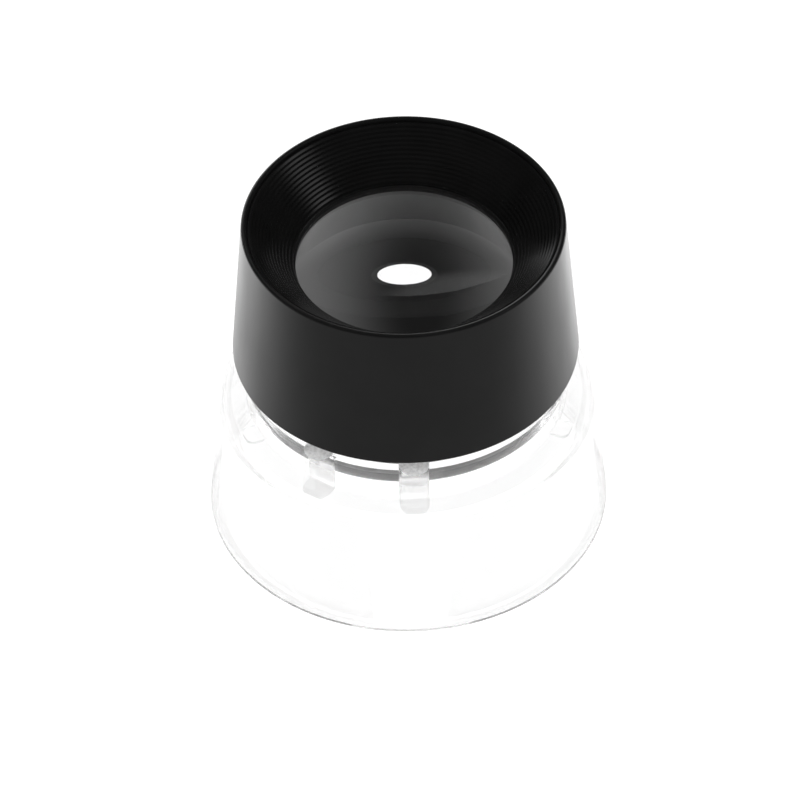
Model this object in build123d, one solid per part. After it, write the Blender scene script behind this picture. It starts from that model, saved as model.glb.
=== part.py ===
from build123d import *
import math
import os

# Focusing viewing loupe: a black lens head that screws into a clear conical base.
#
# Millimetres, +Z up. The origin is the centre of the clear base's bottom ring, so the
# loupe stands on the plane Z = 0. Every round piece is coaxial with Z.
#
# The lenses drop into the barrel from above: field lens, spacer, eye lens, then the
# retaining ring, which the eyecup holds down. The sleeve goes over all of it.

# ---- overall sizes -------------------------------------------------------------
HEIGHT = 46.0              # bottom ring to rim
BASE_RADIUS = 25.0         # outside of the clear base at the bottom ring
RIM_RADIUS = 20.0          # outside of the black sleeve at the rim
SLEEVE_BOTTOM_Z = 26.0     # lower edge of the black sleeve
SLEEVE_BOTTOM_RADIUS = 21.5

# ---- clear base ----------------------------------------------------------------
SKIRT_WALL = 0.95          # wall of the clear skirt
SHOULDER_Z = 18.6          # flat top of the shoulder
SHOULDER_RADIUS = 23.6     # skirt radius where the shoulder starts to round over
SHOULDER_ROUND = 1.8       # radius of the rounded shoulder edge
SHOULDER_THICKNESS = 1.2
NECK_RADIUS = 20.1         # outside of the short neck above the shoulder
NECK_WALL = 1.1
NECK_TOP_Z = 23.5          # flat top of the neck plate
NECK_PLATE = 2.5           # thickness of the neck plate that carries the thread
FOOT_CHAMFER = 0.25        # broken edge of the bottom ring

# ---- ribs that stop the sleeve, two side by side at the front and two behind ----
RIB_ANGLES = (2.0, -32.0, 182.0, 148.0)   # degrees from the front (-Y)
RIB_WIDTH = 3.7            # the nose of a rib is a half circle of this width
RIB_TOP_Z = 24.75
RIB_TOP_RADIUS = 22.4      # tip of the nose at the top of a rib
RIB_FOOT_RADIUS = 23.0     # tip of the nose at its foot
RIB_FOOT_Z = 17.8          # the foot ends inside the wall of the shoulder

# ---- low pads on the shoulder, beside the neck ---------------------------------
PAD_ANGLES = (66.0, -66.0, 114.0, -114.0)   # degrees from the front (-Y)
PAD_WIDTH = 2.8
PAD_RADIUS = 22.1          # outer end of a pad
PAD_HEIGHT = 0.4
PAD_CORNER = 0.9

# ---- focusing thread between the lens barrel and the neck plate ----------------
THREAD_STARTS = 2
THREAD_LEAD = 12.0         # lift in one full turn of the head
THREAD_PHASE = 82.5        # direction, from +X, in which a ridge centre line meets Z = 0
THREAD_ROOT_RADIUS = 16.6
THREAD_CREST_RADIUS = 17.05
THREAD_ROOT_WIDTH = 1.0
THREAD_CREST_WIDTH = 0.6
THREAD_TOP_Z = 25.4
RUNNING_GAP = 0.08         # play between the two threads

# ---- lens barrel ---------------------------------------------------------------
BARREL_BOTTOM_Z = 20.0
BARREL_TOP_Z = 40.0
BARREL_BORE_RADIUS = 15.1  # holds the lenses
BARREL_FLANGE_BOTTOM_Z = 38.2
LENS_LEDGE_RADIUS = 14.2   # bore below the ledge that the field lens sits on
FIELD_STOP_RADIUS = 12.82  # opening at the bottom of the barrel
FIELD_STOP_LAND = 0.15     # thickness of the stop at its edge
FIELD_STOP_HEIGHT = 1.2    # where the stop's cone meets the bore
FIT_GAP = 0.05             # small gap between pieces that sit in one another

# ---- eyecup --------------------------------------------------------------------
EYECUP_OUTER_RADIUS = 19.15
EYECUP_TOP_Z = 45.6
EYECUP_LAND = 0.25         # flat ring between the sleeve and the funnel
EYECUP_FUNNEL_RADIUS = 13.6
EYECUP_FUNNEL_Z = 40.4     # lower end of the funnel
EYECUP_SKIRT = 2.6         # height of the rim that fits inside the sleeve
EYECUP_FOOT = 2.6          # width of the foot that stands on the barrel
RIDGE_COUNT = 13           # fine rings moulded in the funnel
RIDGE_DEPTH = 0.05

# ---- sleeve --------------------------------------------------------------------
RIM_INNER_RADIUS = 19.2
RIM_ROUND = 0.35
SLEEVE_BOTTOM_INNER_RADIUS = 20.3

# ---- lenses --------------------------------------------------------------------
LENS_RADIUS = 15.05
LENS_EDGE = 1.2            # thickness of a lens at its rim
LENS_CURVE = 34.0          # radius of each curved lens face
LENS_VERTEX_GAP = 0.6      # air between the two curved faces
LENS_BEVEL = 0.15

# ---- ring pieces in the barrel -------------------------------------------------
SPACER_INNER_RADIUS = 13.9
RETAINER_INNER_RADIUS = 13.4
RETAINER_HEIGHT = 0.75

# ---- worked out from the sizes above -------------------------------------------
LENS_SAG = LENS_CURVE - math.sqrt(LENS_CURVE**2 - LENS_RADIUS**2)
RETAINER_TOP_Z = BARREL_TOP_Z - FIT_GAP
RETAINER_BOTTOM_Z = RETAINER_TOP_Z - RETAINER_HEIGHT
EYE_LENS_TOP_Z = RETAINER_BOTTOM_Z - FIT_GAP
EYE_LENS_RIM_Z = EYE_LENS_TOP_Z - LENS_EDGE
FIELD_LENS_RIM_Z = EYE_LENS_RIM_Z - 2 * LENS_SAG - LENS_VERTEX_GAP
FIELD_LENS_BOTTOM_Z = FIELD_LENS_RIM_Z - LENS_EDGE
LENS_LEDGE_Z = FIELD_LENS_BOTTOM_Z - FIT_GAP


def turned(outline):
    """Revolve a closed outline, drawn as (radius, height) edges, about Z."""
    return revolve(Plane.XZ * make_face(outline), Axis.Z)


def turned_polygon(*points):
    """Revolve a closed polygon of (radius, height) points about Z."""
    return turned(Polyline(*points, close=True))


def helical_ridge(root_radius, crest_radius, root_width, crest_width, bottom, top):
    """All starts of a right-hand thread, as ridges that stand on a cylinder."""
    sunk = 0.4   # how far a ridge reaches into its cylinder
    ridges = []
    for start in range(THREAD_STARTS):
        path = Helix(THREAD_LEAD, top - bottom, root_radius)
        section_plane = Plane(origin=path @ 0, x_dir=(1, 0, 0), z_dir=path % 0)
        section = Polyline(
            (-sunk, -root_width / 2),
            (0, -root_width / 2),
            (crest_radius - root_radius, -crest_width / 2),
            (crest_radius - root_radius, crest_width / 2),
            (0, root_width / 2),
            (-sunk, root_width / 2),
            close=True,
        )
        ridge = sweep(section_plane * make_face(section), path=path, is_frenet=True)
        phase = THREAD_PHASE + 360 * (start / THREAD_STARTS + bottom / THREAD_LEAD)
        ridges.append(Pos(0, 0, bottom) * Rot(0, 0, phase) * ridge)
    return ridges


def base_shell():
    """Skirt, shoulder and neck of the clear base, as one thin-walled shell."""
    edge_z = SHOULDER_Z - SHOULDER_ROUND
    edge_top_radius = SHOULDER_RADIUS - SHOULDER_ROUND
    under_z = SHOULDER_Z - SHOULDER_THICKNESS
    bore = THREAD_ROOT_RADIUS + RUNNING_GAP
    neck_inner = NECK_RADIUS - NECK_WALL
    plate_z = NECK_TOP_Z - NECK_PLATE
    outline = [
        Line((BASE_RADIUS - SKIRT_WALL, 0), (BASE_RADIUS - FOOT_CHAMFER, 0)),
        Line((BASE_RADIUS - FOOT_CHAMFER, 0), (BASE_RADIUS, FOOT_CHAMFER)),
        Line((BASE_RADIUS, FOOT_CHAMFER), (SHOULDER_RADIUS, edge_z)),
        RadiusArc((SHOULDER_RADIUS, edge_z), (edge_top_radius, SHOULDER_Z), -SHOULDER_ROUND),
        Line((edge_top_radius, SHOULDER_Z), (NECK_RADIUS, SHOULDER_Z)),
        Line((NECK_RADIUS, SHOULDER_Z), (NECK_RADIUS, NECK_TOP_Z)),
        Line((NECK_RADIUS, NECK_TOP_Z), (bore, NECK_TOP_Z)),
        Line((bore, NECK_TOP_Z), (bore, plate_z)),
        Line((bore, plate_z), (neck_inner, plate_z)),
        Line((neck_inner, plate_z), (neck_inner, under_z)),
        Line((neck_inner, under_z), (edge_top_radius, under_z)),
        RadiusArc(
            (edge_top_radius, under_z),
            (SHOULDER_RADIUS - SKIRT_WALL, edge_z),
            SHOULDER_ROUND - SKIRT_WALL,
        ),
        Line((SHOULDER_RADIUS - SKIRT_WALL, edge_z), (BASE_RADIUS - SKIRT_WALL, 0)),
    ]
    return turned(outline)


def rib_plan(tip_radius, height):
    """Plan of a rib that points to the front: straight sides and a half-round nose."""
    half = RIB_WIDTH / 2
    inner = NECK_RADIUS - NECK_WALL / 2
    nose_y = half - tip_radius
    outline = [
        Line((-half, -inner), (half, -inner)),
        Line((half, -inner), (half, nose_y)),
        ThreePointArc((half, nose_y), (0, -tip_radius), (-half, nose_y)),
        Line((-half, nose_y), (-half, -inner)),
    ]
    return Pos(0, 0, height) * make_face(outline)


def stop_rib(angle):
    """One upright rib outside the neck, leaning out to its foot, with a flat top."""
    foot = rib_plan(RIB_FOOT_RADIUS, RIB_FOOT_Z)
    rib = loft([foot, rib_plan(RIB_TOP_RADIUS, RIB_TOP_Z)])
    rise = RIB_TOP_Z - NECK_TOP_Z
    above_neck = Pos(0, 0, NECK_TOP_Z + rise / 2) * Cylinder(NECK_RADIUS, rise)
    return Rot(0, 0, angle) * (rib - above_neck)


def shoulder_pad(angle):
    """One low pad on the shoulder, with rounded outer corners."""
    inner = NECK_RADIUS - NECK_WALL / 2
    bottom = SHOULDER_Z - SHOULDER_THICKNESS / 2
    top = SHOULDER_Z + PAD_HEIGHT
    middle = Pos(0, -(inner + PAD_RADIUS) / 2, (bottom + top) / 2)
    pad = middle * Box(PAD_WIDTH, PAD_RADIUS - inner, top - bottom)
    outer_corners = pad.edges().filter_by(Axis.Z).group_by(Axis.Y)[0]
    return Rot(0, 0, angle) * fillet(outer_corners, PAD_CORNER)


def clear_base():
    """Clear skirt with its shoulder, threaded neck plate, stop ribs and pads."""
    base = base_shell()
    for angle in RIB_ANGLES:
        base += stop_rib(angle)
    for angle in PAD_ANGLES:
        base += shoulder_pad(angle)
    overrun = 1.0
    grooves = helical_ridge(
        THREAD_ROOT_RADIUS + RUNNING_GAP,
        THREAD_CREST_RADIUS + RUNNING_GAP,
        THREAD_ROOT_WIDTH + 2 * RUNNING_GAP,
        THREAD_CREST_WIDTH + 2 * RUNNING_GAP,
        NECK_TOP_Z - NECK_PLATE - overrun,
        NECK_TOP_Z + overrun,
    )
    for groove in grooves:
        base -= groove
    return base


def outer_sleeve():
    """Tapered black sleeve, the outside of the head."""
    rounded = RIM_ROUND
    step_z = EYECUP_TOP_Z - EYECUP_SKIRT   # from here down the inside tapers too
    outline = [
        Line((SLEEVE_BOTTOM_INNER_RADIUS, SLEEVE_BOTTOM_Z), (SLEEVE_BOTTOM_RADIUS, SLEEVE_BOTTOM_Z)),
        Line((SLEEVE_BOTTOM_RADIUS, SLEEVE_BOTTOM_Z), (RIM_RADIUS, HEIGHT - rounded)),
        RadiusArc((RIM_RADIUS, HEIGHT - rounded), (RIM_RADIUS - rounded, HEIGHT), -rounded),
        Line((RIM_RADIUS - rounded, HEIGHT), (RIM_INNER_RADIUS, HEIGHT)),
        Line((RIM_INNER_RADIUS, HEIGHT), (RIM_INNER_RADIUS, step_z)),
        Line((RIM_INNER_RADIUS, step_z), (SLEEVE_BOTTOM_INNER_RADIUS, SLEEVE_BOTTOM_Z)),
    ]
    return turned(outline)


def sleeve_inner_radius(height):
    """Inside radius of the sleeve at a height below the eyecup."""
    step_z = EYECUP_TOP_Z - EYECUP_SKIRT
    share = (height - SLEEVE_BOTTOM_Z) / (step_z - SLEEVE_BOTTOM_Z)
    return SLEEVE_BOTTOM_INNER_RADIUS + share * (RIM_INNER_RADIUS - SLEEVE_BOTTOM_INNER_RADIUS)


def eyecup():
    """Funnel with fine moulded rings that shades the eye and holds the lenses down."""
    land_radius = EYECUP_OUTER_RADIUS - EYECUP_LAND
    run = (land_radius - EYECUP_FUNNEL_RADIUS) / RIDGE_COUNT
    drop = (EYECUP_TOP_Z - EYECUP_FUNNEL_Z) / RIDGE_COUNT
    length = math.hypot(run, drop)
    inward = (-drop / length * RIDGE_DEPTH, run / length * RIDGE_DEPTH)
    funnel = [(land_radius, EYECUP_TOP_Z)]
    for ring in range(RIDGE_COUNT):
        crest_radius = land_radius - (ring + 0.5) * run
        crest_z = EYECUP_TOP_Z - (ring + 0.5) * drop
        funnel.append((crest_radius + inward[0], crest_z + inward[1]))
        funnel.append((land_radius - (ring + 1) * run, EYECUP_TOP_Z - (ring + 1) * drop))
    return turned_polygon(
        (EYECUP_OUTER_RADIUS, EYECUP_TOP_Z - EYECUP_SKIRT),
        (EYECUP_OUTER_RADIUS, EYECUP_TOP_Z),
        *funnel,
        (EYECUP_FUNNEL_RADIUS, BARREL_TOP_Z),
        (EYECUP_FUNNEL_RADIUS + EYECUP_FOOT, BARREL_TOP_Z),
    )


def lens_barrel():
    """Lens tube: open bore and flange at the top, thread and field stop at the bottom."""
    tube = turned_polygon(
        (FIELD_STOP_RADIUS, BARREL_BOTTOM_Z),
        (THREAD_ROOT_RADIUS, BARREL_BOTTOM_Z),
        (THREAD_ROOT_RADIUS, BARREL_FLANGE_BOTTOM_Z),
        (sleeve_inner_radius(BARREL_FLANGE_BOTTOM_Z) - FIT_GAP, BARREL_FLANGE_BOTTOM_Z),
        (sleeve_inner_radius(BARREL_TOP_Z) - FIT_GAP, BARREL_TOP_Z),
        (BARREL_BORE_RADIUS, BARREL_TOP_Z),
        (BARREL_BORE_RADIUS, LENS_LEDGE_Z),
        (LENS_LEDGE_RADIUS, LENS_LEDGE_Z),
        (LENS_LEDGE_RADIUS, BARREL_BOTTOM_Z + FIELD_STOP_HEIGHT),
        (FIELD_STOP_RADIUS, BARREL_BOTTOM_Z + FIELD_STOP_LAND),
    )
    ridges = helical_ridge(
        THREAD_ROOT_RADIUS,
        THREAD_CREST_RADIUS,
        THREAD_ROOT_WIDTH,
        THREAD_CREST_WIDTH,
        BARREL_BOTTOM_Z - THREAD_ROOT_WIDTH,
        THREAD_TOP_Z,
    )
    slab_height = THREAD_TOP_Z - BARREL_BOTTOM_Z
    slab = Pos(0, 0, BARREL_BOTTOM_Z + slab_height / 2) * Cylinder(BASE_RADIUS, slab_height)
    for ridge in ridges:
        tube += ridge & slab
    return tube


def plano_convex(flat_z, rim_z, vertex_z):
    """Lens with one flat face, one curved face and bevelled rims."""
    side = 1 if flat_z > rim_z else -1
    outline = [
        Line((0, vertex_z), (0, flat_z)),
        Line((0, flat_z), (LENS_RADIUS - LENS_BEVEL, flat_z)),
        Line((LENS_RADIUS - LENS_BEVEL, flat_z), (LENS_RADIUS, flat_z - side * LENS_BEVEL)),
        Line((LENS_RADIUS, flat_z - side * LENS_BEVEL), (LENS_RADIUS, rim_z)),
        RadiusArc((LENS_RADIUS, rim_z), (0, vertex_z), side * LENS_CURVE),
    ]
    return turned(outline)


def curve_drop(radius):
    """How far a curved lens face at a radius stands beyond the lens's rim."""
    return LENS_SAG - LENS_CURVE + math.sqrt(LENS_CURVE**2 - radius**2)


def eye_lens():
    """Upper lens, flat side up."""
    return plano_convex(EYE_LENS_TOP_Z, EYE_LENS_RIM_Z, EYE_LENS_RIM_Z - LENS_SAG)


def field_lens():
    """Lower lens, flat side down."""
    return plano_convex(FIELD_LENS_BOTTOM_Z, FIELD_LENS_RIM_Z, FIELD_LENS_RIM_Z + LENS_SAG)


def lens_spacer():
    """Black ring between the lenses, with its ends sloped to suit their curved faces."""
    slope = curve_drop(SPACER_INNER_RADIUS)
    return turned_polygon(
        (SPACER_INNER_RADIUS, EYE_LENS_RIM_Z - slope - FIT_GAP),
        (LENS_RADIUS, EYE_LENS_RIM_Z - FIT_GAP),
        (LENS_RADIUS, FIELD_LENS_RIM_Z + FIT_GAP),
        (SPACER_INNER_RADIUS, FIELD_LENS_RIM_Z + slope + FIT_GAP),
    )


def retaining_ring():
    """Thin ring on top of the eye lens, held down by the foot of the eyecup."""
    outer = BARREL_BORE_RADIUS - FIT_GAP
    return turned_polygon(
        (RETAINER_INNER_RADIUS, RETAINER_BOTTOM_Z),
        (outer, RETAINER_BOTTOM_Z),
        (outer, RETAINER_TOP_Z),
        (RETAINER_INNER_RADIUS, RETAINER_TOP_Z),
    )


PIECES = {
    "clear_base": clear_base,
    "outer_sleeve": outer_sleeve,
    "eyecup": eyecup,
    "lens_barrel": lens_barrel,
    "eye_lens": eye_lens,
    "lens_spacer": lens_spacer,
    "field_lens": field_lens,
    "retaining_ring": retaining_ring,
}

os.makedirs("parts", exist_ok=True)
for name, make in PIECES.items():
    export_step(make(), f"parts/{name}.step")
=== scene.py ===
"""Looks of the viewing loupe: smooth moulded plastic, clear acrylic and real lenses.

Every piece is a turned or moulded shape built here in mesh code, at the size and place
of the CAD node that it stands for. Outlines are drawn in millimetres as (radius, height)
points and turned about Z. Angles run counter-clockwise from +X unless a name says
"from the front", where the front is -Y.
"""
import math

import bmesh
import bpy
from mathutils import Matrix, Vector


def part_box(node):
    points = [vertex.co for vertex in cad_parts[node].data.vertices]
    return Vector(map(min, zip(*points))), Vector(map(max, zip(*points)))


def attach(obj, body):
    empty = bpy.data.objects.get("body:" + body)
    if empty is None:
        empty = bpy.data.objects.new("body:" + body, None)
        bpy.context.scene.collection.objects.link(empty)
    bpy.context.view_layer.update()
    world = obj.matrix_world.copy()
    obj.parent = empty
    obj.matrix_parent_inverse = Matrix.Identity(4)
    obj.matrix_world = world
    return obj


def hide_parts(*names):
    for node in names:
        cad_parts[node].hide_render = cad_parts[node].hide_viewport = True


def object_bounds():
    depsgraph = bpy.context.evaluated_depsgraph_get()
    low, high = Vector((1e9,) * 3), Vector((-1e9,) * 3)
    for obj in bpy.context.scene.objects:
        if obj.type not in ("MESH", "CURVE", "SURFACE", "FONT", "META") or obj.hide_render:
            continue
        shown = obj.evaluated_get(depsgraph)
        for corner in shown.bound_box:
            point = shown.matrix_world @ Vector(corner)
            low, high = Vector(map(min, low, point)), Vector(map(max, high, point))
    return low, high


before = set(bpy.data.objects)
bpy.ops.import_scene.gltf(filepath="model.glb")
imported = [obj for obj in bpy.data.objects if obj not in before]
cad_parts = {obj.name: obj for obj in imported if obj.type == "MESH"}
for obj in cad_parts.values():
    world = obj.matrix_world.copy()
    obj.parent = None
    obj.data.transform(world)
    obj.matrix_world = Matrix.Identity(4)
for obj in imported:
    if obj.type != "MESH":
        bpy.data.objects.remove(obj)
cad_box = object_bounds()

MM = 0.001
FULL_TURN = 2 * math.pi
SEGMENTS = 256               # columns in a turned piece
SHARP_ANGLE = math.radians(15)   # steeper edges stay crisp under smooth shading
MERGE_DISTANCE = 1e-7        # metres
LEVEL_NORMAL = 0.99          # a face is level when its normal is at least this upright
TOLERANCE = 0.01             # millimetres, when faces are picked by their place


# ---- sizes, in millimetres ---------------------------------------------------------
def top_of(node):
    """Height of the highest point of a CAD node."""
    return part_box(node)[1].z / MM


def bottom_of(node):
    """Height of the lowest point of a CAD node."""
    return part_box(node)[0].z / MM


def radius_of(node):
    """Largest radius of a CAD node."""
    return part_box(node)[1].x / MM


# clear base
BASE_RADIUS = radius_of("clear_base")
SKIRT_WALL = 0.95
FOOT_CHAMFER = 0.25
SHOULDER_Z = 18.6
SHOULDER_RADIUS = 23.6
SHOULDER_ROUND = 1.8
SHOULDER_THICKNESS = 1.2
NECK_RADIUS = 20.1
NECK_WALL = 1.1
NECK_TOP_Z = 23.5
NECK_PLATE = 2.5

# ribs and pads of the clear base, angles in degrees from the front
RIB_ANGLES = (2.0, -32.0, 182.0, 148.0)
RIB_WIDTH = 3.7
RIB_NOSE_STEPS = 24          # sides of a rib's half-round nose
RIB_TOP_Z = top_of("clear_base")
RIB_TOP_RADIUS = 22.4
RIB_FOOT_RADIUS = 23.0
RIB_FOOT_Z = 17.8
PAD_ANGLES = (66.0, -66.0, 114.0, -114.0)
PAD_WIDTH = 2.8
PAD_RADIUS = 22.1
PAD_HEIGHT = 0.4
PAD_CORNER = 0.9
PAD_CORNER_STEPS = 8

# focusing thread
THREAD_STARTS = 2
THREAD_LEAD = 12.0
THREAD_PHASE = math.radians(82.5)
THREAD_ROOT_RADIUS = 16.6
THREAD_DEPTH = 0.45
THREAD_ROOT_WIDTH = 1.0
THREAD_CREST_WIDTH = 0.6
THREAD_TOP_Z = 25.4
RUNNING_GAP = 0.08

# sleeve
RIM_RADIUS = 20.0
RIM_INNER_RADIUS = 19.2
RIM_ROUND = 0.35
RIM_BREAK = 0.4
SLEEVE_BOTTOM_RADIUS = radius_of("outer_sleeve")
SLEEVE_BOTTOM_WALL = 1.2
SLEEVE_EDGE_BREAK = 0.12
SLEEVE_TOP_Z = top_of("outer_sleeve")
SLEEVE_BOTTOM_Z = bottom_of("outer_sleeve")

# eyecup
EYECUP_RADIUS = radius_of("eyecup")
EYECUP_TOP_Z = top_of("eyecup")
EYECUP_BOTTOM_Z = bottom_of("eyecup")
EYECUP_LAND = 0.25
EYECUP_SKIRT = 2.6
EYECUP_FOOT = 2.6
FUNNEL_RADIUS = 13.6
FUNNEL_RISE = 0.4            # straight wall between the foot and the funnel
RIDGE_COUNT = 13
RIDGE_DEPTH = 0.05

# lens barrel
BARREL_RADIUS = radius_of("lens_barrel")
BARREL_TOP_Z = top_of("lens_barrel")
BARREL_BOTTOM_Z = bottom_of("lens_barrel")
BARREL_BORE_RADIUS = 15.1
BARREL_FLANGE = 1.8
FLANGE_TAPER = 0.07
LENS_LEDGE_RADIUS = 14.2
FIELD_STOP_RADIUS = 12.82
FIELD_STOP_LAND = 0.15
FIELD_STOP_HEIGHT = 1.2

# lenses and the rings between them
LENS_RADIUS = radius_of("eye_lens")
LENS_CURVE = 34.0            # radius of the curved faces
LENS_EDGE = 1.2
LENS_BEVEL = 0.15
LENS_STEPS = 40              # points along a curved lens face
SPACER_INNER_RADIUS = 13.9
RETAINER_INNER_RADIUS = 13.4
RETAINER_BEVEL = 0.2


# ---- mesh helpers ------------------------------------------------------------------
def arc(centre_radius, centre_height, radius, start, end, steps=10):
    """Points on an arc in the (radius, height) plane, both ends included, in degrees."""
    points = []
    for step in range(steps + 1):
        angle = math.radians(start + (end - start) * step / steps)
        out = centre_radius + radius * math.cos(angle)
        height = centre_height + radius * math.sin(angle)
        points.append((out, height))
    return points


def finish_mesh(piece):
    """Merge doubles, point the faces outwards and shade smooth with sharp edges."""
    mesh = piece.data
    work = bmesh.new()
    work.from_mesh(mesh)
    bmesh.ops.remove_doubles(work, verts=work.verts, dist=MERGE_DISTANCE)
    bmesh.ops.recalc_face_normals(work, faces=work.faces)
    work.to_mesh(mesh)
    work.free()
    for face in mesh.polygons:
        face.use_smooth = True
    mesh.set_sharp_from_angle(angle=SHARP_ANGLE)


def new_piece(name, points, faces, material=None):
    """A mesh object from points in millimetres."""
    mesh = bpy.data.meshes.new(name)
    mesh.from_pydata([Vector(point) * MM for point in points], [], faces)
    piece = bpy.data.objects.new(name, mesh)
    bpy.context.scene.collection.objects.link(piece)
    if material:
        mesh.materials.append(material)
    return piece


def turned(name, outline, material):
    """Turn a closed outline about Z. It is a list of points, or a function of the angle."""
    points = []
    faces = []
    for column in range(SEGMENTS + 1):
        angle = FULL_TURN * column / SEGMENTS
        ring = outline(angle) if callable(outline) else outline
        count = len(ring)
        for radius, height in ring:
            points.append((radius * math.cos(angle), radius * math.sin(angle), height))
    for column in range(SEGMENTS):
        here = column * count
        there = here + count
        for row in range(count):
            following = (row + 1) % count
            if ring[row][0] > 0 or ring[following][0] > 0:
                faces.append((here + row, there + row, there + following, here + following))
    piece = new_piece(name, points, faces, material)
    finish_mesh(piece)
    return piece


def thread_side(angle, bottom, top, root_radius, grow):
    """Points up one side of a threaded cylinder at an angle, from bottom to top."""
    spacing = THREAD_LEAD / THREAD_STARTS
    half_root = THREAD_ROOT_WIDTH / 2 + grow
    half_crest = THREAD_CREST_WIDTH / 2 + grow
    rise = THREAD_LEAD * (angle - THREAD_PHASE) / FULL_TURN
    corners = []
    for ridge in range(-THREAD_STARTS, int(top / spacing) + 2):
        middle = rise + ridge * spacing
        corners.append((middle - half_root, root_radius))
        corners.append((middle - half_crest, root_radius + THREAD_DEPTH))
        corners.append((middle + half_crest, root_radius + THREAD_DEPTH))
        corners.append((middle + half_root, root_radius))

    def radius_at(height):
        for (low, low_radius), (high, high_radius) in zip(corners, corners[1:]):
            if low <= height <= high:
                share = (height - low) / (high - low)
                return low_radius + share * (high_radius - low_radius)
        return root_radius

    side = [(radius_at(bottom), bottom)]
    for height, radius in corners:
        if bottom < height < top:
            side.append((radius, height))
        else:
            end = min(max(height, bottom), top)
            side.append((radius_at(end), end))
    side.append((radius_at(top), top))
    return side


def joined(piece, others):
    """Union of a piece with others, which are then deleted."""
    for other in others:
        union = piece.modifiers.new("union", "BOOLEAN")
        union.operation = "UNION"
        union.solver = "EXACT"
        union.material_mode = "TRANSFER"
        union.object = other
    bpy.context.view_layer.update()
    solid = piece.evaluated_get(bpy.context.evaluated_depsgraph_get())
    result = bpy.data.meshes.new_from_object(solid)
    piece.modifiers.clear()
    piece.data = result
    for other in others:
        bpy.data.objects.remove(other)
    finish_mesh(piece)
    return piece


def prism(name, outline, place, material):
    """Solid between two copies of an outline; place(point, end) gives a corner in space."""
    count = len(outline)
    points = [place(point, 0) for point in outline]
    points += [place(point, 1) for point in outline]
    faces = [tuple(range(count)), tuple(range(2 * count - 1, count - 1, -1))]
    for side in range(count):
        following = (side + 1) % count
        faces.append((side, side + count, following + count, following))
    piece = new_piece(name, points, faces, material)
    finish_mesh(piece)
    return piece


def turn_from_front(piece, degrees):
    """Turn a piece that was built at the front round to its own angle."""
    piece.data.transform(Matrix.Rotation(math.radians(degrees), 4, "Z"))
    return piece


def paint(piece, material, belongs):
    """Give a second material to the faces for which belongs(face) is true."""
    piece.data.materials.append(material)
    slot = len(piece.data.materials) - 1
    for face in piece.data.polygons:
        if belongs(face):
            face.material_index = slot


# ---- materials ---------------------------------------------------------------------
PLASTIC_IOR = 1.5
ACRYLIC_IOR = 1.49
ACRYLIC_HAZE = 0.02          # greatest roughness of the polished acrylic
ACRYLIC_WAVES = 0.00001      # height of its waviness, in metres
SHARE_FADE = 0.5             # millimetres over which the straight share changes
RIB_TOP_RELIEF = 0.00003     # height of the rough mark on the ribs, in metres
DUST_ROUGHNESS = 0.2
MIRROR_ROUGHNESS = 0.04
# Painted glow on the outside of the eye lens: emission that stands in for veiling glare, growing
# from near its centre towards its edge
PAINTED_GLOW_CENTRE = (0.002, -0.002, 0.0)
PAINTED_GLOW_SCALE = (1, 0.35, 0)   # the painted glow grows faster sideways than from front to back
PAINTED_GLOW_START = 0.002          # metres from its centre
PAINTED_GLOW_END = 0.016
PAINTED_GLOW_LEAST = 0.08           # share of the full painted glow that is left at its centre


class Nodes:
    """Short way to build a node tree for a material."""

    def __init__(self, name):
        self.material = bpy.data.materials.new(name)
        self.material.use_nodes = True
        self.tree = self.material.node_tree
        self.tree.nodes.clear()
        self.out = self.add("OutputMaterial")
        self.surface = self.add("BsdfPrincipled")
        self.link(self.surface, "BSDF", self.out, "Surface")
        self.where = self.add("TexCoord")

    def add(self, kind, **settings):
        """A new shader node, with settings such as its operation."""
        node = self.tree.nodes.new("ShaderNode" + kind)
        for setting, value in settings.items():
            setattr(node, setting, value)
        return node

    def link(self, source, output, target, socket):
        self.tree.links.new(source.outputs[output], target.inputs[socket])

    def noise(self, scale, detail=4.0, stretch=(1, 1, 1)):
        """Noise over the piece, scale in features per metre."""
        mapping = self.add("Mapping")
        mapping.inputs["Scale"].default_value = stretch
        noise = self.add("TexNoise")
        noise.inputs["Scale"].default_value = scale
        noise.inputs["Detail"].default_value = detail
        self.link(self.where, "Object", mapping, "Vector")
        self.link(mapping, "Vector", noise, "Vector")
        return noise

    def ranged(self, source, output, low, high, start=0.35, end=0.65):
        """Spread a value that lies between start and end over low to high."""
        spread = self.add("MapRange")
        spread.inputs["From Min"].default_value = start
        spread.inputs["From Max"].default_value = end
        spread.inputs["To Min"].default_value = low
        spread.inputs["To Max"].default_value = high
        self.link(source, output, spread, "Value")
        return spread

    def bump(self, source, output, distance):
        """Relief from a value; distance is its height in metres."""
        bump = self.add("Bump")
        bump.inputs["Strength"].default_value = 1.0
        bump.inputs["Distance"].default_value = distance
        self.link(source, output, bump, "Height")
        self.link(bump, "Normal", self.surface, "Normal")

    def place(self, axis, low, high, start, end):
        """Value that follows one axis, from low at start to high at end, in metres."""
        place = self.add("SeparateXYZ")
        self.link(self.where, "Object", place, "Vector")
        return self.ranged(place, axis, low, high, start, end)

    def mixed(self, factor, output, first, second):
        """Mix of two shaders: the first where the factor is 0, the second where it is 1."""
        mix = self.add("MixShader")
        self.link(factor, output, mix, "Fac")
        self.link(first, 0, mix, 1)
        self.link(second, 0, mix, 2)
        return mix

    def set(self, **values):
        """Set sockets of the surface by name, with _ for a space."""
        for socket, value in values.items():
            self.surface.inputs[socket.replace("_", " ")].default_value = value


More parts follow.
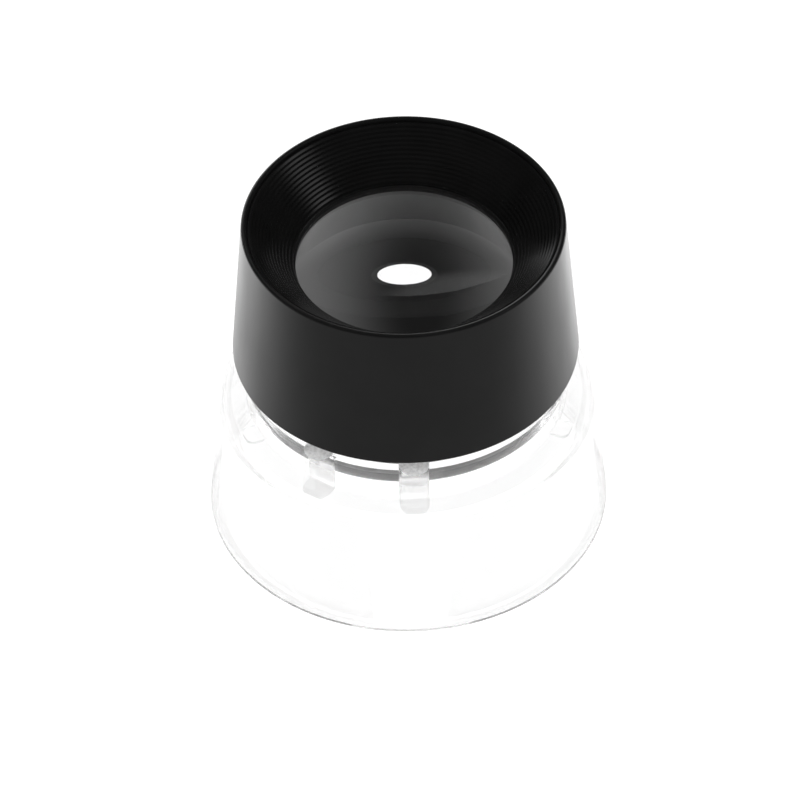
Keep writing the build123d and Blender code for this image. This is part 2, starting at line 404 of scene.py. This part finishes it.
def black_plastic(name, grey, roughness, level, grain_height, grain_scale):
    """Moulded black plastic: faint mottling, uneven gloss and a fine grain."""
    nodes = Nodes(name)
    mottling = nodes.noise(scale=220)
    tone = nodes.ranged(mottling, "Fac", low=grey * 0.8, high=grey * 1.25)
    nodes.link(tone, "Result", nodes.surface, "Base Color")
    smears = nodes.noise(scale=90, detail=6.0, stretch=(1, 1, 0.35))
    gloss = nodes.ranged(smears, "Fac", low=roughness * 0.85, high=roughness * 1.2)
    nodes.link(gloss, "Result", nodes.surface, "Roughness")
    grain = nodes.noise(scale=grain_scale, detail=2.0)
    nodes.bump(grain, "Fac", grain_height)
    nodes.set(IOR=PLASTIC_IOR, Specular_IOR_Level=level)
    return nodes.material


def share_by_height(nodes, shares):
    """Value that changes in steps with the height; shares are (millimetres, value)."""
    height = nodes.place("Z", low=0.0, high=1.0, start=0.0, end=RIB_TOP_Z * MM)
    share = nodes.add("ValToRGB")
    steps = share.color_ramp.elements
    steps.remove(steps[1])
    lowest = shares[0][1]
    steps[0].color = (lowest, lowest, lowest, 1.0)
    for (_, before), (start, value) in zip(shares, shares[1:]):
        for position, level in ((start - SHARE_FADE, before), (start, value)):
            step = steps.new(position / RIB_TOP_Z)
            step.color = (level, level, level, 1.0)
    nodes.link(height, "Result", share, "Fac")
    return share


def clear_plastic(name, straight_shares):
    """Polished clear acrylic with a trace of haze and moulding waviness.

    A share of the light goes straight through, which keeps the edges of thin walls as
    pale as they are in a light tent. It is given as (height in millimetres, share) steps.
    """
    nodes = Nodes(name)
    film = nodes.noise(scale=160, detail=5.0)
    rough = nodes.ranged(film, "Fac", low=0.0, high=ACRYLIC_HAZE)
    nodes.link(rough, "Result", nodes.surface, "Roughness")
    waves = nodes.noise(scale=120, detail=1.0)
    nodes.bump(waves, "Fac", ACRYLIC_WAVES)
    nodes.set(IOR=ACRYLIC_IOR, Transmission_Weight=1.0, Base_Color=(1.0, 1.0, 1.0, 1.0))
    share = share_by_height(nodes, straight_shares)
    straight = nodes.add("BsdfTransparent")
    mix = nodes.mixed(share, "Color", nodes.surface, straight)
    nodes.link(mix, "Shader", nodes.out, "Surface")
    return nodes.material


def textured_acrylic():
    """Greyish acrylic with the rough mark of the mould, for the tops of the ribs."""
    nodes = Nodes("rib_top_acrylic")
    marks = nodes.noise(scale=2600, detail=3.0)
    tone = nodes.ranged(marks, "Fac", low=0.7, high=1.0)
    nodes.link(tone, "Result", nodes.surface, "Base Color")
    nodes.bump(marks, "Fac", RIB_TOP_RELIEF)
    nodes.set(IOR=ACRYLIC_IOR, Roughness=0.5, Transmission_Weight=0.35)
    return nodes.material


def with_bloom(nodes, shader, outer_face, veil):
    """Add a painted glow to the outside of a lens, emission that stands in for veiling glare, at
    its strongest the given strength.
    """
    narrowed = nodes.add("Mapping")
    narrowed.inputs["Scale"].default_value = PAINTED_GLOW_SCALE
    nodes.link(nodes.where, "Object", narrowed, "Vector")
    away = nodes.add("VectorMath", operation="DISTANCE")
    away.inputs[1].default_value = PAINTED_GLOW_CENTRE
    nodes.link(narrowed, "Vector", away, 0)
    bloom = nodes.ranged(away, "Value", veil * PAINTED_GLOW_LEAST, veil, PAINTED_GLOW_START, PAINTED_GLOW_END)
    bloom.interpolation_type = "SMOOTHSTEP"
    outside = nodes.add("Math", operation="SUBTRACT")
    outside.inputs[0].default_value = 1.0
    nodes.link(outer_face, "Backfacing", outside, 1)
    strength = nodes.add("Math", operation="MULTIPLY")
    nodes.link(bloom, "Result", strength, 0)
    nodes.link(outside, "Value", strength, 1)
    glow = nodes.add("Emission")
    nodes.link(strength, "Value", glow, "Strength")
    both = nodes.add("AddShader")
    nodes.link(shader, 0, both, 0)
    nodes.link(glow, 0, both, 1)
    return both


def with_reflection(nodes, shader, outer_face, lean, share):
    """Let the outside of a lens reflect a share of the light, as if off a curved face."""
    mirror = nodes.add("BsdfAnisotropic")
    mirror.inputs["Roughness"].default_value = MIRROR_ROUGHNESS
    bowl = nodes.add("Mapping", vector_type="POINT")
    bowl.inputs["Scale"].default_value = (-lean, -lean, 0)
    bowl.inputs["Location"].default_value = (0, 0, 1)
    nodes.link(nodes.where, "Object", bowl, "Vector")
    nodes.link(bowl, "Vector", mirror, "Normal")
    only_outside = nodes.ranged(outer_face, "Backfacing", low=share, high=0.0, start=0.0, end=1.0)
    return nodes.mixed(only_outside, "Result", shader, mirror)


def lens_glass(name, reflections=(), veil=0.0):
    """Lens that bends the light, with specks of dust, and if asked reflections and a painted
    glow.

    The reflections are (lean, share): how far the reflecting face's normal leans per metre
    from the axis, and how much it reflects. The painted glare is the strength of the painted
    glow, emission that stands in for veiling glare.
    """
    nodes = Nodes(name)
    nodes.tree.nodes.remove(nodes.surface)
    shader = nodes.add("BsdfRefraction")
    shader.inputs["IOR"].default_value = ACRYLIC_IOR
    dust = nodes.noise(scale=1500, detail=8.0)
    specks = nodes.ranged(dust, "Fac", low=0.0, high=DUST_ROUGHNESS, start=0.77, end=0.82)
    nodes.link(specks, "Result", shader, "Roughness")
    outer_face = nodes.add("NewGeometry")
    if veil:
        shader = with_bloom(nodes, shader, outer_face, veil)
    for lean, share in reflections:
        shader = with_reflection(nodes, shader, outer_face, lean, share)
    nodes.link(shader, 0, nodes.out, "Surface")
    return nodes.material


ACRYLIC = clear_plastic("clear_acrylic", ((0.0, 0.25), (1.5, 0.45), (20.0, 0.05)))
RIB_ACRYLIC = clear_plastic("rib_acrylic", ((0.0, 0.8), (19.5, 0.9)))
SHOULDER_ACRYLIC = clear_plastic("shoulder_acrylic", ((0.0, 0.68),))
RIB_TOP_ACRYLIC = textured_acrylic()
# grey, roughness, specular level, height of the grain in metres, grains per metre
SLEEVE_BLACK = black_plastic("gloss_black", 0.003, 0.33, 0.5, 0.000002, 2500)
EYECUP_BLACK = black_plastic("eyecup_black", 0.003, 0.2, 0.5, 0.000001, 2500)
# The barrel's black plastic comes as a lit and a shaded copy: painted light makes its outside
# light grey, standing in for the sheen of the thread seen through the clear base, and painted
# shade makes its bore darker
BARREL_PAINTED_LIGHT = black_plastic("barrel_black", 0.25, 0.34, 0.5, 0.000002, 2500)
BARREL_PAINTED_SHADE = black_plastic("barrel_inside_painted_shade", 0.004, 0.55, 0.12, 0.0000002, 3000)
SPACER_BLACK = black_plastic("spacer_black", 0.006, 0.55, 0.2, 0.0000003, 3000)
RING_BLACK = black_plastic("ring_black", 0.008, 0.45, 0.4, 0.000003, 6000)
# the eye lens gets faint reflections and a painted glow on its outside, emission that stands in
# for veiling glare
EYE_GLASS = lens_glass("eye_lens_glass", reflections=((0.0, 0.02), (45.0, 0.02)), veil=0.12)
FIELD_GLASS = lens_glass("field_lens_glass")


# ---- clear base --------------------------------------------------------------------
def base_outline(angle):
    """Outline of skirt, shoulder and threaded neck plate at an angle."""
    edge_z = SHOULDER_Z - SHOULDER_ROUND
    edge_top_radius = SHOULDER_RADIUS - SHOULDER_ROUND
    under_z = SHOULDER_Z - SHOULDER_THICKNESS
    neck_inner = NECK_RADIUS - NECK_WALL
    plate_z = NECK_TOP_Z - NECK_PLATE
    bore = THREAD_ROOT_RADIUS + RUNNING_GAP
    outline = [
        (BASE_RADIUS - SKIRT_WALL, 0),
        (BASE_RADIUS - FOOT_CHAMFER, 0),
        (BASE_RADIUS, FOOT_CHAMFER),
    ]
    outline += arc(edge_top_radius, edge_z, SHOULDER_ROUND, 0, 90)
    outline += [(NECK_RADIUS, SHOULDER_Z), (NECK_RADIUS, NECK_TOP_Z)]
    outline += reversed(thread_side(angle, plate_z, NECK_TOP_Z, bore, RUNNING_GAP))
    outline += [(neck_inner, plate_z), (neck_inner, under_z)]
    outline += arc(edge_top_radius, edge_z, SHOULDER_ROUND - SKIRT_WALL, 90, 0)
    return outline


def rib(degrees):
    """One stop rib: straight sides, half-round nose that leans out to its foot."""
    half = RIB_WIDTH / 2
    inner = NECK_RADIUS - NECK_WALL / 2
    plan = [(-half, inner)]
    plan += arc(0, 0, half, 180, 360, RIB_NOSE_STEPS)
    plan += [(half, inner)]
    noses = (RIB_FOOT_RADIUS - half, RIB_TOP_RADIUS - half)
    levels = (RIB_FOOT_Z, RIB_TOP_Z)

    def place(point, end):
        """The root stays in the neck's wall, and the nose stands further out at the foot."""
        across, out = point
        depth = -out if out == inner else out - noses[end]
        return (across, depth, levels[end])

    return turn_from_front(prism("rib", plan, place, RIB_ACRYLIC), degrees)


def pad(degrees):
    """One low pad on the shoulder with rounded outer corners."""
    half = PAD_WIDTH / 2
    inner = NECK_RADIUS - NECK_WALL / 2
    corner = PAD_RADIUS - PAD_CORNER
    plan = [(-half, -inner)]
    plan += arc(-half + PAD_CORNER, -corner, PAD_CORNER, 180, 270, PAD_CORNER_STEPS)
    plan += arc(half - PAD_CORNER, -corner, PAD_CORNER, -90, 0, PAD_CORNER_STEPS)
    plan += [(half, -inner)]
    levels = (SHOULDER_Z - SHOULDER_THICKNESS / 2, SHOULDER_Z + PAD_HEIGHT)

    def place(point, end):
        return (point[0], point[1], levels[end])

    return turn_from_front(prism("pad", plan, place, ACRYLIC), degrees)


def under_shoulder(face):
    """Whether a face of the shell is on the level underside of the shoulder.

    That is the only face looking down between the skirt's middle and the ribs' feet.
    """
    height = face.center.z / MM
    return face.normal.z < -LEVEL_NORMAL and RIB_FOOT_Z / 2 < height < RIB_FOOT_Z


def on_rib_top(face):
    """Whether a face of the base is on top of a rib."""
    return face.center.z > (RIB_TOP_Z - TOLERANCE) * MM


def clear_base():
    """The clear moulding: shell, ribs and pads as one closed mesh."""
    shell = turned("clear_base_visual", base_outline, ACRYLIC)
    paint(shell, SHOULDER_ACRYLIC, under_shoulder)
    additions = [rib(angle) for angle in RIB_ANGLES]
    additions += [pad(angle) for angle in PAD_ANGLES]
    base = joined(shell, additions)
    paint(base, RIB_TOP_ACRYLIC, on_rib_top)
    return base


# ---- head --------------------------------------------------------------------------
def outer_sleeve():
    """Tapered sleeve with a rounded rim and a lightly broken lower edge."""
    inner = SLEEVE_BOTTOM_RADIUS - SLEEVE_BOTTOM_WALL
    step_z = EYECUP_TOP_Z - EYECUP_SKIRT
    outline = [
        (inner, SLEEVE_BOTTOM_Z),
        (SLEEVE_BOTTOM_RADIUS - SLEEVE_EDGE_BREAK, SLEEVE_BOTTOM_Z),
        (SLEEVE_BOTTOM_RADIUS, SLEEVE_BOTTOM_Z + SLEEVE_EDGE_BREAK),
    ]
    outline += arc(RIM_RADIUS - RIM_ROUND, SLEEVE_TOP_Z - RIM_ROUND, RIM_ROUND, 0, 90)
    outline += arc(RIM_INNER_RADIUS + RIM_BREAK, SLEEVE_TOP_Z - RIM_BREAK, RIM_BREAK, 90, 180)
    outline += [(RIM_INNER_RADIUS, step_z)]
    return turned("outer_sleeve_visual", outline, SLEEVE_BLACK)


def eyecup():
    """Funnel with fine rings, a narrow land at the rim and a foot on the barrel."""
    land_radius = EYECUP_RADIUS - EYECUP_LAND
    funnel_z = EYECUP_BOTTOM_Z + FUNNEL_RISE
    run = (land_radius - FUNNEL_RADIUS) / RIDGE_COUNT
    drop = (EYECUP_TOP_Z - funnel_z) / RIDGE_COUNT
    length = math.hypot(run, drop)
    outline = [
        (EYECUP_RADIUS, EYECUP_TOP_Z - EYECUP_SKIRT),
        (EYECUP_RADIUS, EYECUP_TOP_Z),
        (land_radius, EYECUP_TOP_Z),
    ]
    for ring in range(RIDGE_COUNT):
        crest_radius = land_radius - (ring + 0.5) * run - drop / length * RIDGE_DEPTH
        crest_z = EYECUP_TOP_Z - (ring + 0.5) * drop + run / length * RIDGE_DEPTH
        outline.append((crest_radius, crest_z))
        outline.append((land_radius - (ring + 1) * run, EYECUP_TOP_Z - (ring + 1) * drop))
    outline += [(FUNNEL_RADIUS, EYECUP_BOTTOM_Z), (FUNNEL_RADIUS + EYECUP_FOOT, EYECUP_BOTTOM_Z)]
    return turned("eyecup_visual", outline, EYECUP_BLACK)


def barrel_outline(angle):
    """Outline of the lens barrel at an angle, with the focusing thread on its outside."""
    flange_z = BARREL_TOP_Z - BARREL_FLANGE
    ledge_z = bottom_of("field_lens")
    outline = [(FIELD_STOP_RADIUS, BARREL_BOTTOM_Z)]
    outline += thread_side(angle, BARREL_BOTTOM_Z, THREAD_TOP_Z, THREAD_ROOT_RADIUS, 0)
    outline += [
        (THREAD_ROOT_RADIUS, THREAD_TOP_Z),
        (THREAD_ROOT_RADIUS, flange_z),
        (BARREL_RADIUS, flange_z),
        (BARREL_RADIUS - FLANGE_TAPER, BARREL_TOP_Z),
        (BARREL_BORE_RADIUS, BARREL_TOP_Z),
        (BARREL_BORE_RADIUS, ledge_z),
        (LENS_LEDGE_RADIUS, ledge_z),
        (LENS_LEDGE_RADIUS, BARREL_BOTTOM_Z + FIELD_STOP_HEIGHT),
        (FIELD_STOP_RADIUS, BARREL_BOTTOM_Z + FIELD_STOP_LAND),
    ]
    return outline


def in_bore(face):
    """Whether a face of the barrel is inside its bore."""
    return face.center.to_2d().length < (BARREL_BORE_RADIUS + TOLERANCE) * MM


def lens_barrel():
    """Lens tube with its flange, field stop and two-start thread, painted light grey outside and
    painted darker shade in its bore.
    """
    barrel = turned("lens_barrel_visual", barrel_outline, BARREL_PAINTED_LIGHT)
    # painted shade: the bore gets the darker copy of the barrel's plastic
    paint(barrel, BARREL_PAINTED_SHADE, in_bore)
    return barrel


def retaining_ring():
    """Thin ring over the eye lens, bevelled towards the eye."""
    outer = radius_of("retaining_ring")
    bottom = bottom_of("retaining_ring")
    top = top_of("retaining_ring")
    outline = [
        (RETAINER_INNER_RADIUS, bottom),
        (outer, bottom),
        (outer, top),
        (RETAINER_INNER_RADIUS + RETAINER_BEVEL, top),
        (RETAINER_INNER_RADIUS, top - RETAINER_BEVEL),
    ]
    return turned("retaining_ring_visual", outline, RING_BLACK)


# ---- lenses ------------------------------------------------------------------------
def curve_drop(radius):
    """How far a curved lens face at a radius stands beyond the lens's rim."""
    return math.sqrt(LENS_CURVE**2 - radius**2) - math.sqrt(LENS_CURVE**2 - LENS_RADIUS**2)


def plano_convex(name, flat_z, side, glass):
    """Lens with a flat face at flat_z; side is 1 with the curved face above, -1 below."""
    rim_z = flat_z + side * LENS_EDGE
    outline = [
        (0, flat_z),
        (LENS_RADIUS - LENS_BEVEL, flat_z),
        (LENS_RADIUS, flat_z + side * LENS_BEVEL),
    ]
    for step in range(LENS_STEPS + 1):
        radius = LENS_RADIUS * (1 - step / LENS_STEPS)
        outline.append((radius, rim_z + side * curve_drop(radius)))
    return turned(name, outline, glass)


def lens_spacer():
    """Ring between the lenses, its ends sloped to suit the curved faces."""
    slope = curve_drop(SPACER_INNER_RADIUS)
    bottom = bottom_of("lens_spacer")
    top = top_of("lens_spacer")
    outline = [
        (SPACER_INNER_RADIUS, top - slope),
        (LENS_RADIUS, top),
        (LENS_RADIUS, bottom),
        (SPACER_INNER_RADIUS, bottom + slope),
    ]
    return turned("lens_spacer_visual", outline, SPACER_BLACK)


def place_pieces():
    """Build every piece, tie it to its body and hide the CAD node that it stands for."""
    eye_lens = plano_convex("eye_lens_visual", top_of("eye_lens"), -1, EYE_GLASS)
    field_lens = plano_convex("field_lens_visual", bottom_of("field_lens"), 1, FIELD_GLASS)
    pieces = (
        (clear_base(), "clear_base", "base", "clear_acrylic"),
        (outer_sleeve(), "outer_sleeve", "head", "gloss_black"),
        (eyecup(), "eyecup", "head", "eyecup_black"),
        (lens_barrel(), "lens_barrel", "head", "barrel_black"),
        (retaining_ring(), "retaining_ring", "head", "ring_black"),
        (eye_lens, "eye_lens", "lens_stack", "lens_glass"),
        (lens_spacer(), "lens_spacer", "lens_stack", "spacer_black"),
        (field_lens, "field_lens", "lens_stack", "lens_glass"),
    )
    for piece, node, body, slot in pieces:
        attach(piece, body)
        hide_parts(node)


# ---- floor, light and camera -------------------------------------------------------
VIEW_ELEVATION = math.radians(43.79)
VIEW_ROLL = math.radians(1.12)
VIEW_DISTANCE = 1.0
VIEW_TARGET = Vector((0, 0, cad_box[1][2] / 2))
TO_CAMERA = Vector((0, -math.cos(VIEW_ELEVATION), math.sin(VIEW_ELEVATION)))
SENSOR_WIDTH = 36            # millimetres, as the focal length
FOCAL_LENGTH = 361.5
SHIFT_ACROSS = -0.0076       # shares of the picture's width
SHIFT_UP = -0.0502
NEAREST = 0.01               # metres from the camera to where the picture starts

FLOOR_HALF = 3000            # millimetres
FLOOR_DROP = 0.00002         # metres below the bottom ring, so that the two don't coincide
FLOOR_GLOW = 1.14            # the table as seen directly and through clear pieces
FLOOR_FRONT = 0.3            # the table in reflections, in front of the loupe
FLOOR_BACK = 2.2             # and behind it
FLOOR_FADE = (-0.03, 0.05)   # metres behind the loupe's axis, where one turns into the other
SKY_GLOW = 1.12              # the surroundings as seen directly and through clear pieces
ROOM_GLOW = 0.04             # the surroundings in reflections, away from the soft boxes
SOFT_BOXES = (               # direction, half angles of core and edge in degrees, strength
    ((0.0, 0.0, 1.0), 15, 50, 0.04),
    ((0.69, 0.03, 0.72), 3, 10, 1.5),
    ((-0.22, 0.94, 0.22), 8, 22, 2.5),
)


def feed(tree, value, socket):
    """Give a socket a number, or link it to another socket."""
    if isinstance(value, (int, float)):
        socket.default_value = value
    else:
        tree.links.new(value, socket)


def combined(tree, operation, first, second):
    """A sum, product or other operation on two values, kept between 0 and 1."""
    node = tree.nodes.new("ShaderNodeMath")
    node.operation = operation
    node.use_clamp = True
    feed(tree, first, node.inputs[0])
    feed(tree, second, node.inputs[1])
    return node.outputs["Value"]


def reflected(tree):
    """A socket that is 1 for light that a glossy outside reflects straight to the eye.

    Light that has been inside a clear piece doesn't count, so that clear pieces stay pale.
    """
    ray = tree.nodes.new("ShaderNodeLightPath").outputs
    off_gloss = combined(tree, "MULTIPLY", ray["Is Glossy Ray"], ray["Is Reflection Ray"])
    been_inside = combined(tree, "ADD", ray["Transmission Depth"], ray["Transparent Depth"])
    return combined(tree, "SUBTRACT", off_gloss, been_inside)


def mixed_value(tree, factor, plain, special):
    """Value that is plain, or special where the factor is 1; each a number or a socket."""
    mix = tree.nodes.new("ShaderNodeMix")
    feed(tree, factor, mix.inputs["Factor"])
    feed(tree, plain, mix.inputs["A"])
    feed(tree, special, mix.inputs["B"])
    return mix.outputs["Result"]


def floor():
    """White light-box table. Reflections show it dim in front and bright behind."""
    corners = []
    for across, along in ((-1, -1), (1, -1), (1, 1), (-1, 1)):
        corners.append((across * FLOOR_HALF, along * FLOOR_HALF, 0))
    sheet = new_piece("floor", corners, [(0, 1, 2, 3)])
    sheet.location.z = -FLOOR_DROP
    nodes = Nodes("white_table")
    paper = nodes.noise(scale=40, detail=3.0)
    tone = nodes.ranged(paper, "Fac", low=0.04, high=0.05)
    nodes.link(tone, "Result", nodes.surface, "Base Color")
    depth = nodes.place("Y", FLOOR_FRONT, FLOOR_BACK, *FLOOR_FADE)
    glow = mixed_value(nodes.tree, reflected(nodes.tree), FLOOR_GLOW, depth.outputs["Result"])
    feed(nodes.tree, glow, nodes.surface.inputs["Emission Strength"])
    nodes.set(Roughness=1.0, Specular_IOR_Level=0.0, Emission_Color=(1, 1, 1, 1))
    nodes.material.cycles.emission_sampling = "NONE"
    sheet.data.materials.append(nodes.material)


def soft_box(tree, where, direction, inner, outer, strength):
    """Brightness of one soft box, full within the inner angle and fading to the outer."""
    towards = tree.nodes.new("ShaderNodeVectorMath")
    towards.operation = "DOT_PRODUCT"
    towards.inputs[1].default_value = Vector(direction).normalized()
    feed(tree, where.outputs["Generated"], towards.inputs[0])
    edge = tree.nodes.new("ShaderNodeMapRange")
    edge.interpolation_type = "SMOOTHSTEP"
    edge.inputs["From Min"].default_value = math.cos(math.radians(outer))
    edge.inputs["From Max"].default_value = math.cos(math.radians(inner))
    edge.inputs["To Max"].default_value = strength
    feed(tree, towards.outputs["Value"], edge.inputs["Value"])
    return edge.outputs["Result"]


def studio_light():
    """White surroundings. Reflections show only a dim room and the soft boxes in it."""
    world = bpy.data.worlds.new("studio")
    bpy.context.scene.world = world
    world.use_nodes = True
    tree = world.node_tree
    tree.nodes.clear()
    where = tree.nodes.new("ShaderNodeTexCoord")
    total = ROOM_GLOW
    for box in SOFT_BOXES:
        added = tree.nodes.new("ShaderNodeMath")
        feed(tree, soft_box(tree, where, *box), added.inputs[0])
        feed(tree, total, added.inputs[1])
        total = added.outputs["Value"]
    strength = mixed_value(tree, reflected(tree), SKY_GLOW, total)
    glow = tree.nodes.new("ShaderNodeBackground")
    out = tree.nodes.new("ShaderNodeOutputWorld")
    feed(tree, strength, glow.inputs["Strength"])
    feed(tree, glow.outputs["Background"], out.inputs["Surface"])


def camera():
    """Long lens, about 44 degrees above the table, a degree out of level."""
    data = bpy.data.cameras.new("camera")
    data.sensor_width = SENSOR_WIDTH
    data.lens = FOCAL_LENGTH
    data.shift_x = SHIFT_ACROSS
    data.shift_y = SHIFT_UP
    data.clip_start = NEAREST
    view = bpy.data.objects.new("camera", data)
    bpy.context.scene.collection.objects.link(view)
    right = Vector((1, 0, 0))
    up = Vector((0, math.sin(VIEW_ELEVATION), math.cos(VIEW_ELEVATION)))
    rolled_right = right * math.cos(VIEW_ROLL) - up * math.sin(VIEW_ROLL)
    rolled_up = right * math.sin(VIEW_ROLL) + up * math.cos(VIEW_ROLL)
    axes = Matrix((rolled_right, rolled_up, TO_CAMERA)).transposed().to_4x4()
    axes.translation = VIEW_TARGET + TO_CAMERA * VIEW_DISTANCE
    view.matrix_world = axes
    bpy.context.scene.camera = view


place_pieces()
floor()
studio_light()
camera()

scene = bpy.context.scene
scene.view_settings.view_transform = "Standard"
scene.cycles.max_bounces = 24
scene.cycles.transmission_bounces = 24
scene.cycles.glossy_bounces = 8
